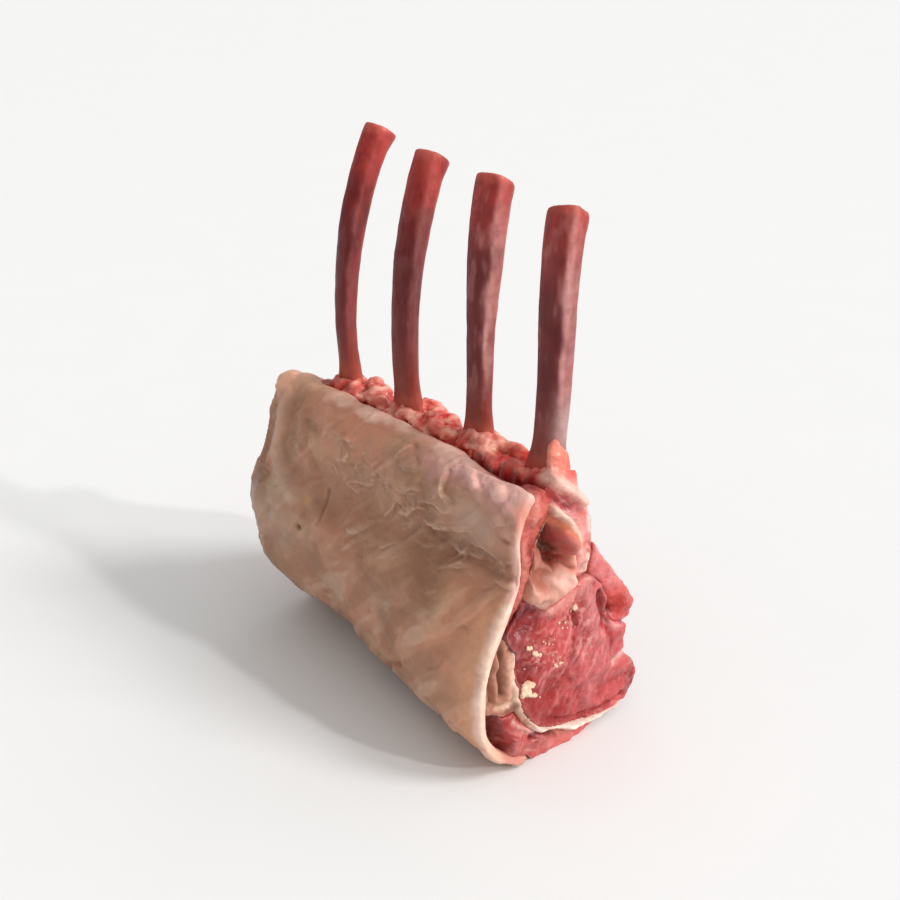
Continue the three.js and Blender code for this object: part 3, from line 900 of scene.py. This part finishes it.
loinEye = {
    "name": "loinEye",
    "node": "loin_eye",
    "pitted": 0.26,
    "look": {
        "paleCrestAndHighlightShare": 0.2,
        "hollowShare": 0.8,
        "hollowDepth": 0.55,
        "hollowColour": tone(134, 16, 16),
        "specular": 0.26,
        "coat": 0.16,
    },
    "colours": {"lean": (186, 70, 70), "deep": (136, 22, 22), "pale": (218, 130, 126)},
    "relief": [
        (((2, 34), (12, 26)), 14, 1.4),
        (((20, 21.8), (26, 22)), 0.9, -2.2),
        (((14, 37), (17, 33), (19, 27)), 1.4, -0.9),
        (((-17, 36), (-15, 29)), 2.4, -1.6),
        (((-14, 50), (-19, 47)), 2.4, -1.6),
        (((-9, 23), (-5, 19)), 2.6, -0.6),
        (((2.4, 45), (2.6, 41)), 0.8, -1.2),
        (((5, 52), (8, 47), (8.6, 42)), 2, 0.7),
        (((-6, 12.6), (0, 10.4), (8, 7.4), (16, 6), (25, 7)), 1.2, -1),
        (((13, 46), (14.4, 40), (16.6, 36.4)), 1.4, -1.8),
    ],
    "strokes": [
        (((-16, 42), (-14, 30)), 6, 1, (124, 12, 14)),
        (((19, 30), (20, 18)), 4, 0.5, (160, 44, 44)),
        (((-10, 22), (-4, 15)), 6, 0.9, (134, 18, 18)),
        (((10, 40), (12, 28), (14, 16)), 6, 0.6, (186, 88, 92)),
        (((-6, 48.6), (2, 49.6), (8, 52)), 1.8, 0.7, (206, 142, 130)),
        (((-16, 44), (-12, 48.5), (-4, 49.5)), 0.8, 0.7, (206, 146, 136)),
        (((6, 52), (9, 46), (10, 40), (13, 33)), 2.4, 0.75, (198, 120, 118)),
        (((13, 38.6), (17, 34.5), (21, 33)), 1.4, 0.7, (212, 146, 148)),
        (((13.5, 37), (16, 33.6), (19, 27)), 1.3, 1.1, (156, 22, 26)),
        (((4, 30), (9, 24), (12, 16)), 3.4, 0.45, (196, 104, 102)),
        (((-20, 50), (-15, 52.4), (-10, 51.4)), 2.6, 1.6, (84, 6, 30)),
        (((-23, 47), (-20.5, 42)), 2.2, 1.4, (60, 6, 18)),
        (((-19, 46.5), (-13, 47)), 3.2, 1.4, (112, 6, 8)),
        (((-18.4, 37), (-17, 30)), 1.9, 1.3, (108, 8, 6)),
        (((-15, 39.4), (-13.5, 35)), 2, 0.9, (140, 20, 14)),
        (((-14.6, 34), (-11, 32.6)), 1, 0.9, (104, 8, 6)),
        (((-10, 44), (-6, 38)), 2, 0.5, (168, 40, 34)),
        (((-12, 29.6), (-7, 27)), 1.4, 0.5, (170, 44, 40)),
        (((-8.4, 24.6), (-4.6, 20)), 2.6, 1, (134, 14, 10)),
        (((-12.6, 22), (-8, 15)), 2.2, 0.8, (138, 26, 22)),
        (((-4, 17), (6, 9)), 3, 0.4, (164, 46, 44)),
        (((16, 16), (22, 12)), 3, 0.4, (170, 48, 44)),
        (((2.4, 44.4), (2.6, 41)), 0.9, 1.3, (120, 14, 8)),
        (((1.2, 38), (2, 31)), 0.7, 1.1, (128, 10, 8)),
        (((19.4, 21.4), (25.6, 22.2)), 0.8, 1.1, (232, 190, 178)),
        # painted shade in the crease by the chine
        (((13.4, 46), (14.6, 40), (16.6, 36.4)), 1.2, 1.2, (112, 10, 8)),
    ],
    "streaks": (62, 1.5, (2, 32), (18, 17), (220, 146, 142)),
    "grains": [  # (middle, reach)
        ((-9, 41), (6, 3.4)),
        ((2, 45), (5, 4)),
        ((-11, 36), (5, 3)),
        ((-4, 33), (5, 5)),
        ((7, 36), (4, 8)),
    ],
}
flankFat = {
    "name": "flankFat",
    "node": "flank_fat",
    "fat": True,
    "colours": {"fat": (172, 116, 92), "shade": (124, 70, 52), "blush": (168, 100, 78)},
    "relief": [
        (((-24.4, 45), (-23.6, 37), (-23.4, 29)), 0.9, -1.6),
        (((-27.6, 39), (-27.2, 28)), 0.9, -1.2),
        (((-21.4, 40), (-21, 27)), 1.2, 1.2),
        (((-25.8, 40), (-25.4, 27)), 1, 0.7),
        (((-19.6, 41), (-19.4, 32), (-17.8, 25), (-13.6, 17.6), (-10.6, 13.2)), 0.9, 1.6),
        (((-8, 11.4), (-1, 9.2), (5, 6.4), (14, 4.6), (26, 5.6)), 2.2, 2.8),
    ],
    "strokes": [
        (((-27, 44), (-26, 34), (-26, 27)), 2, 0.6, (146, 96, 74)),
        (((-24.2, 44), (-23.6, 29)), 0.7, 0.9, (116, 66, 50)),
        (((-27.6, 39), (-27.2, 28)), 0.6, 0.8, (122, 74, 56)),
        (((-21.2, 39), (-21, 30), (-21, 25.5)), 1.4, 0.6, (206, 160, 134)),
        (((-24, 24.6), (-20, 23.8)), 1, 0.8, (228, 194, 170)),
        (((-19.8, 41), (-19.4, 32), (-17.8, 25), (-13.6, 17.6), (-10.6, 13.2)), 1.2, 1.2, (228, 192, 172)),
        (((-9, 11.8), (-1, 9.2), (5, 6.4), (14, 4.6), (27, 5.4)), 2.2, 1.1, (236, 208, 194)),
    ],
}
underMuscle = {
    "name": "underMuscle",
    "node": "under_muscle",
    "colours": {"lean": (200, 88, 84), "deep": (146, 26, 26), "pale": (226, 148, 140)},
    "relief": [
        (((-28, 22), (-26.4, 15), (-22, 8.6)), 2.8, -4.4),
        (((-21, 20), (-17, 9)), 2.4, 1.2),
        (((-12, 9.6), (-6, 8), (-2, 5.6)), 0.9, -1.2),
        (((-18, 15), (-13, 11)), 0.7, -0.8),
        (((-6, 8.6), (2, 5.4), (12, 3.6)), 1, -1.2),
    ],
    "strokes": [
        # painted shadow in the recess beside the cap
        (((-26.4, 22), (-24.8, 15), (-21, 8.4)), 3, 1.5, (72, 3, 6)),
        (((-21.6, 21), (-19.6, 12)), 2.2, 0.8, (156, 24, 20)),
        (((-19, 17.5), (-15, 13), (-10, 10.6)), 1, 0.7, (214, 160, 148)),
        (((-12, 9.4), (-6, 7.8), (-2.6, 5.4)), 1.1, 1.1, (112, 18, 18)),
        (((-3.2, 6.6), (0, 5.4), (4, 4.6)), 1, 0.8, (212, 138, 112)),
        (((-18, 8), (-8, 3.4), (4, 2.6)), 1.6, 0.5, (206, 126, 116)),
    ],
    "streaks": (-35, 1.2, (-14, 9), (9, 6), (218, 160, 152)),
}


def wetGrains(points, settings):  # small wet grains of fat and lean, in patches
    cover = np.zeros(len(points))
    for middle, reach in settings.get("grains", []):
        cover = np.maximum(cover, spot(points[:, 1:], middle, reach))
    return cover * ramp(grain(points, 1.5, 91, 2), 0.06, 0.3)


def shapeFace(points, normals, settings, seed):
    flat = points[:, 1:] + wandering(points, 5, (seed, seed + 5), 2, 0.5)
    out = grain(points, 8, seed, 3) + grain(points, 2.8, seed + 7, 3) * settings.get("pitted", 0.4)
    for path, width, height in settings["relief"]:
        out += along(flat, path, width) * height
    out += wetGrains(points, settings) * 0.35
    points[:, 0] += out * ramp(points[:, 0], 46, 56) * ramp(normals[:, 0], 0.0, 0.6)


def faceCoats(points, settings, seed):
    flat = points[:, 1:] + wandering(points, 3, (seed + 2, seed + 9), 3, 0.7)
    face = ramp(points[:, 0], 50, 55)
    for path, width, strength, colour in settings["strokes"]:
        yield along(flat, path, width) * strength * face, colour
    yield wetGrains(points, settings) * face * 0.5, (228, 172, 160)
    if "streaks" in settings:
        angle, size, middle, reach, colour = settings["streaks"]
        patch = spot(points[:, 1:], middle, reach)
        pale, deep = streaked(points, angle, size, seed), streaked(points, angle, size * 1.2, seed + 40)
        yield ramp(pale, 0.1, 0.5) * patch * face * 0.6, colour
        yield ramp(deep, 0.1, 0.5) * patch * face * 0.4, settings["colours"]["deep"]


# Ragged lumps of fat and lean along the top, between the ribs: (place, radii, turn, colour).
topLumps = [
    ((-29, -2, 84.4), (3.4, 2.6, 2.8), (0, 20, 20), (214, 130, 116)),
    ((-25.4, 1.6, 85.4), (2.8, 2.4, 2.8), (20, 0, 0), (208, 112, 100)),
    ((-23.6, 2.6, 87), (1.6, 1.4, 1.6), (0, 0, 0), (212, 120, 108)),
    ((-25, -3.2, 83.4), (3.2, 2, 2), (0, 0, 30), (200, 112, 100)),
    ((-20.4, -0.8, 84.6), (3.4, 2.8, 3), (0, 10, 0), (226, 168, 152)),
    ((-16.6, -2.4, 83.6), (2.6, 2.2, 2.6), (0, 0, 0), (196, 104, 76)),
    ((-19.5, 2.8, 84.6), (2.8, 2, 2.6), (0, 0, 0), (206, 108, 96)),
    ((-9.6, -4.8, 82.8), (2.8, 1.8, 1.6), (0, 10, -20), (190, 50, 44)),
    ((-5.6, -3.2, 84), (3.6, 2.2, 2.2), (10, 0, -16), (226, 164, 138)),
    ((-1.2, -2.8, 85), (3.8, 2.4, 2), (0, 8, 14), (240, 196, 176)),
    ((3, -3.8, 83.6), (4, 2, 2.2), (20, 14, -10), (224, 142, 122)),
    ((0.8, 3.4, 85.6), (5.4, 2.4, 3), (0, 8, 8), (216, 92, 80)),
    ((5.2, 0, 86.2), (3, 2.2, 2.2), (-20, 20, 30), (222, 74, 60)),
    ((8.6, -2.6, 84.2), (4, 2.2, 2), (10, 12, -6), (228, 128, 112)),
    ((9.6, 2.6, 84.6), (3.6, 2, 2.8), (0, 16, 0), (206, 60, 48)),
    ((13.2, -1.8, 83.8), (3.2, 2.2, 2), (0, 24, -10), (216, 120, 84)),
    ((15.4, 1.6, 83.8), (2.4, 2, 2), (0, 0, 0), (190, 40, 28)),
    ((23.6, -1.4, 86.4), (2.6, 1.6, 1.6), (0, 30, 20), (238, 200, 184)),
    ((27.4, -1, 85.8), (2.6, 2.2, 1.8), (10, 20, -30), (240, 192, 172)),
    ((27, 3.4, 86.2), (2.6, 1.8, 1.6), (0, 10, 0), (236, 190, 176)),
    ((31.8, 1.6, 86), (3.6, 1.8, 1.8), (20, 6, 12), (228, 152, 128)),
    ((30.4, -3.2, 83.8), (2.4, 2.8, 2.6), (0, 0, 30), (246, 150, 120)),
    ((33.2, -4.6, 83), (3.2, 1.8, 2.2), (0, 20, -10), (244, 110, 92)),
    ((36.8, -3.6, 82.8), (2.2, 2.2, 2), (0, 0, 0), (232, 34, 44)),
    ((37.2, 2.4, 85.6), (3.6, 2.2, 2.2), (0, -10, -16), (244, 122, 86)),
    ((41.6, -3.2, 83), (3.4, 3.6, 2.4), (0, 10, 30), (244, 14, 8)),
    ((42.4, 2, 85.2), (2.6, 2.4, 2.4), (0, -8, 0), (240, 74, 46)),
    ((45, -3.4, 82.4), (2.6, 2.8, 2.2), (0, 20, 0), (190, 6, 6)),
    ((54.2, -1, 89.4), (1.9, 2.8, 6.4), (0, -6, 0), (222, 156, 130)),
    ((55.6, -3.4, 85.4), (2.4, 2.2, 3), (30, -30, 0), (216, 160, 138)),
    ((54.4, 1.2, 87), (1.8, 2.4, 5.4), (-10, -6, 0), (216, 108, 90)),
    ((55.4, 3.4, 82), (2, 1.8, 4), (-24, 0, 0), (208, 88, 82)),
]


def ribCollars():  # the lumps above, a flared foot for each rib, and small scraps between
    blobs = [lump[:3] for lump in topLumps]
    for x in ribSettings["places"]:
        blobs.append(((x + 0.4, 0.0, 84.0), (6.0, 4.6, 4.0), (0, 0, 0)))
    for step in range(ribMeat["scraps"]):
        x = -42 + step * 3.0 + between(-1.4, 1.4)
        place = (x, between(-4.6, 4.0), between(80.6, 82.8))
        radii = (between(1.4, 3.2), between(1.0, 2.0), between(1.2, 2.2))
        turn = (between(-30, 30), between(-50, 50), between(0, 180))
        blobs.append((place, radii, turn))
    return blobs


def shapeTop(layer, points):  # softens the top, sinks the gap by the cap, returns how far the top swells
    x, y, z = points.T
    upper = ramp(z, 79, 82)
    points += (neighbourMean(layer, points, 7) - points) * (upper * 0.85)[:, None]
    creased = 0.4 - np.abs(grain(points, 6, 9, 3)) * 1.3  # creased between soft crests
    broken = upper * (1 - 0.7 * ramp(x, 50, 54))
    swell = broken * (creased + grain(points, 3.2, 19, 3) * 0.75 + grain(points, 1.5, 29, 2) * 0.2)
    trough = ramp(x, 14, 24) * ramp(x, 58, 53) * ramp(y, -4.6, -6.2)
    z -= trough * upper * 4.2
    return swell


def topCoats(points):
    x, y, z = points.T
    rough = grain(points, 5, 15, 3)
    patches = grain(points, 3.0, 33, 3)
    top = ramp(z, 78, 81)
    ragged = top * ramp(x, 54, 50)
    yield top * 0.85, (198, 36, 26)
    for place, radii, _, colour in topLumps:
        yield spot(points, place, radii) * 1.3, [min(255, value * 1.08) for value in colour]
    yield ramp(patches, 0.0, 0.35) * ragged * (0.65 - 0.4 * ramp(x, 30, 36)), (248, 192, 170)
    yield ramp(-patches, 0.05, 0.35) * ragged * 0.75, (166, 8, 6)
    for foot in ribSettings["places"][:3]:
        yield spot(points, (foot, 0, 86), (7, 5.4, 3)) * 0.8 * ramp(rough, -0.5, 0.2), (172, 78, 58)
    yield ramp(x, -37, -42) * top, (112, 22, 16)
    # painted shade in the gap behind the cap's rim
    yield ramp(-y + rough, 4.7, 5.9) * ramp(x, 8, 18) * ramp(x, 57, 53) * top * 1.6, (116, 0, 0)


def layerCoats(points, settings, seed):
    if settings["name"] == "ribMeat":
        yield from topCoats(points)
    if settings["name"] in ("capLean", "seamFat"):  # painted shade where they look out of the gap by the cap
        yield ramp(points[:, 2], 75, 79) * ramp(points[:, 0], 56, 52), (112, 4, 2)
    yield from faceCoats(points, settings, seed)


def makeLayer(settings, seed):
    name, node = settings["name"], settings["node"]
    layer = copyOfNode(name, node)
    if name == "ribMeat":
        addClay(layer, ribCollars())
    remesh(layer, layerShape)
    onCut = lambda middle, normal: middle.x > layerShape["fineFrom"] and normal.x > 0.25
    editFaces(layer, onCut, bpy.ops.mesh.subdivide, number_cuts=1)
    points, normals = pointsOf(layer), normalsOf(layer)
    x, y, z = points.T
    swell = grain(points, 12, seed, 3) * 0.4 + grain(points, 3.4, seed + 3, 3) * 0.18
    if name == "ribMeat":
        swell += shapeTop(layer, points)
    if name == "capLean":
        z -= ramp(z, 72, 84) * ramp(x, 52, 44) * 3.0
    points += normals * (0.34 + swell)[:, None]
    shapeFace(points, normals, settings, seed)
    y += grain(points, 24, 77, 3) * 2.0 * ramp(y, 4, 16) * ramp(x, 52, 36)  # an uneven inner side
    movePoints(layer, points)
    points = pointsOf(layer)
    finish = {**settings, "look": {"paleCrestAndHighlightShare": 0.12, **settings.get("look", {})}}
    material = fleshMaterial(name + "Flesh", fatKind if "fat" in settings else leanKind, finish)
    finishPiece(layer, node, node, material, painted(points, layerCoats(points, settings, seed)))


layers = [capLean, seamFat, ribMeat, chineMuscle, loinEye, flankFat, underMuscle]
for number, layerSettings in enumerate(layers, 1):
    makeLayer(layerSettings, number * 11)
print("layers are made")

# Crumbs of hard white fat that lie on the cut face of the loin.
crumbSettings = {
    "voxel": 0.2,
    "rounding": 2,
    "grain": {"Patch Size": 400.0},
    "colours": {"fat": (228, 198, 170), "shade": (206, 170, 138), "blush": (224, 182, 160)},
    "crumbs": [  # (y, z, radius)
        (-15.6, 27.4, 1.5), (-14.0, 27.9, 1.6), (-12.8, 27.6, 1.1), (-16.4, 26.2, 1.1), (-14.6, 26.0, 1.4),
        (-13.6, 24.8, 0.8), (-12.4, 24.3, 0.9), (-11.2, 23.5, 0.7), (-10.6, 22.9, 0.5),
        (-15.6, 41.0, 0.7), (-14.6, 40.6, 0.8), (-13.4, 38.6, 0.8), (-12.4, 37.8, 0.8), (-11.6, 37.2, 0.6),
        (-10.6, 36.6, 0.6), (-9.4, 40.3, 0.4), (-8.2, 39.2, 0.4), (-7.2, 38.6, 0.4), (-6.0, 38.2, 0.35),
        (-7.0, 40.4, 0.35), (-5.6, 39.6, 0.3), (-5.2, 31.4, 0.5), (-4.6, 30.6, 0.55), (-3.4, 31.2, 0.55),
        (-2.4, 31.0, 0.45), (-6.0, 32.6, 0.35), (2.8, 46.0, 0.9), (2.2, 45.0, 0.7), (-1.6, 43.2, 0.5),
        (-2.6, 42.0, 0.45), (-3.4, 43.8, 0.4), (-1.0, 41.6, 0.35), (-9.0, 21.6, 0.35), (-17.4, 34.0, 0.3),
        (-15.0, 33.2, 0.3), (-11.6, 33.0, 0.3),
    ],
}  # fmt: skip


def makeCrumbs():
    eye = bpy.data.objects["loinEye"]
    blobs = []
    for y, z, radius in crumbSettings["crumbs"]:
        hit, place, _, _ = eye.ray_cast(Vector((90, y, z)) * mm, Vector((-1, 0, 0)))
        if hit:
            radii = (radius * 0.8, radius * between(0.8, 1.1), radius * between(0.75, 1.0))
            blobs.append((place / mm + Vector((radius * 0.15, 0, 0)), radii, (between(0, 90), 0, 0)))
    bpy.ops.object.select_all(action="DESELECT")
    place, radii, _ = blobs[0]
    bpy.ops.mesh.primitive_ico_sphere_add(subdivisions=3, radius=radii[0] * mm, location=place * mm)
    piece = bpy.context.object
    piece.name = "fatCrumbs"
    selectOnly(piece)
    bpy.ops.object.transform_apply(location=True, rotation=True, scale=True)
    addClay(piece, blobs)
    remesh(piece, crumbSettings)
    points, normals = pointsOf(piece), normalsOf(piece)
    points += normals * (grain(points, 0.9, 3, 2) * 0.25)[:, None]
    movePoints(piece, points)
    material = fleshMaterial("hardFat", fatKind, crumbSettings)
    finishPiece(piece, None, "loin_eye", material, painted(points, []))


makeCrumbs()
print("crumbs are made")
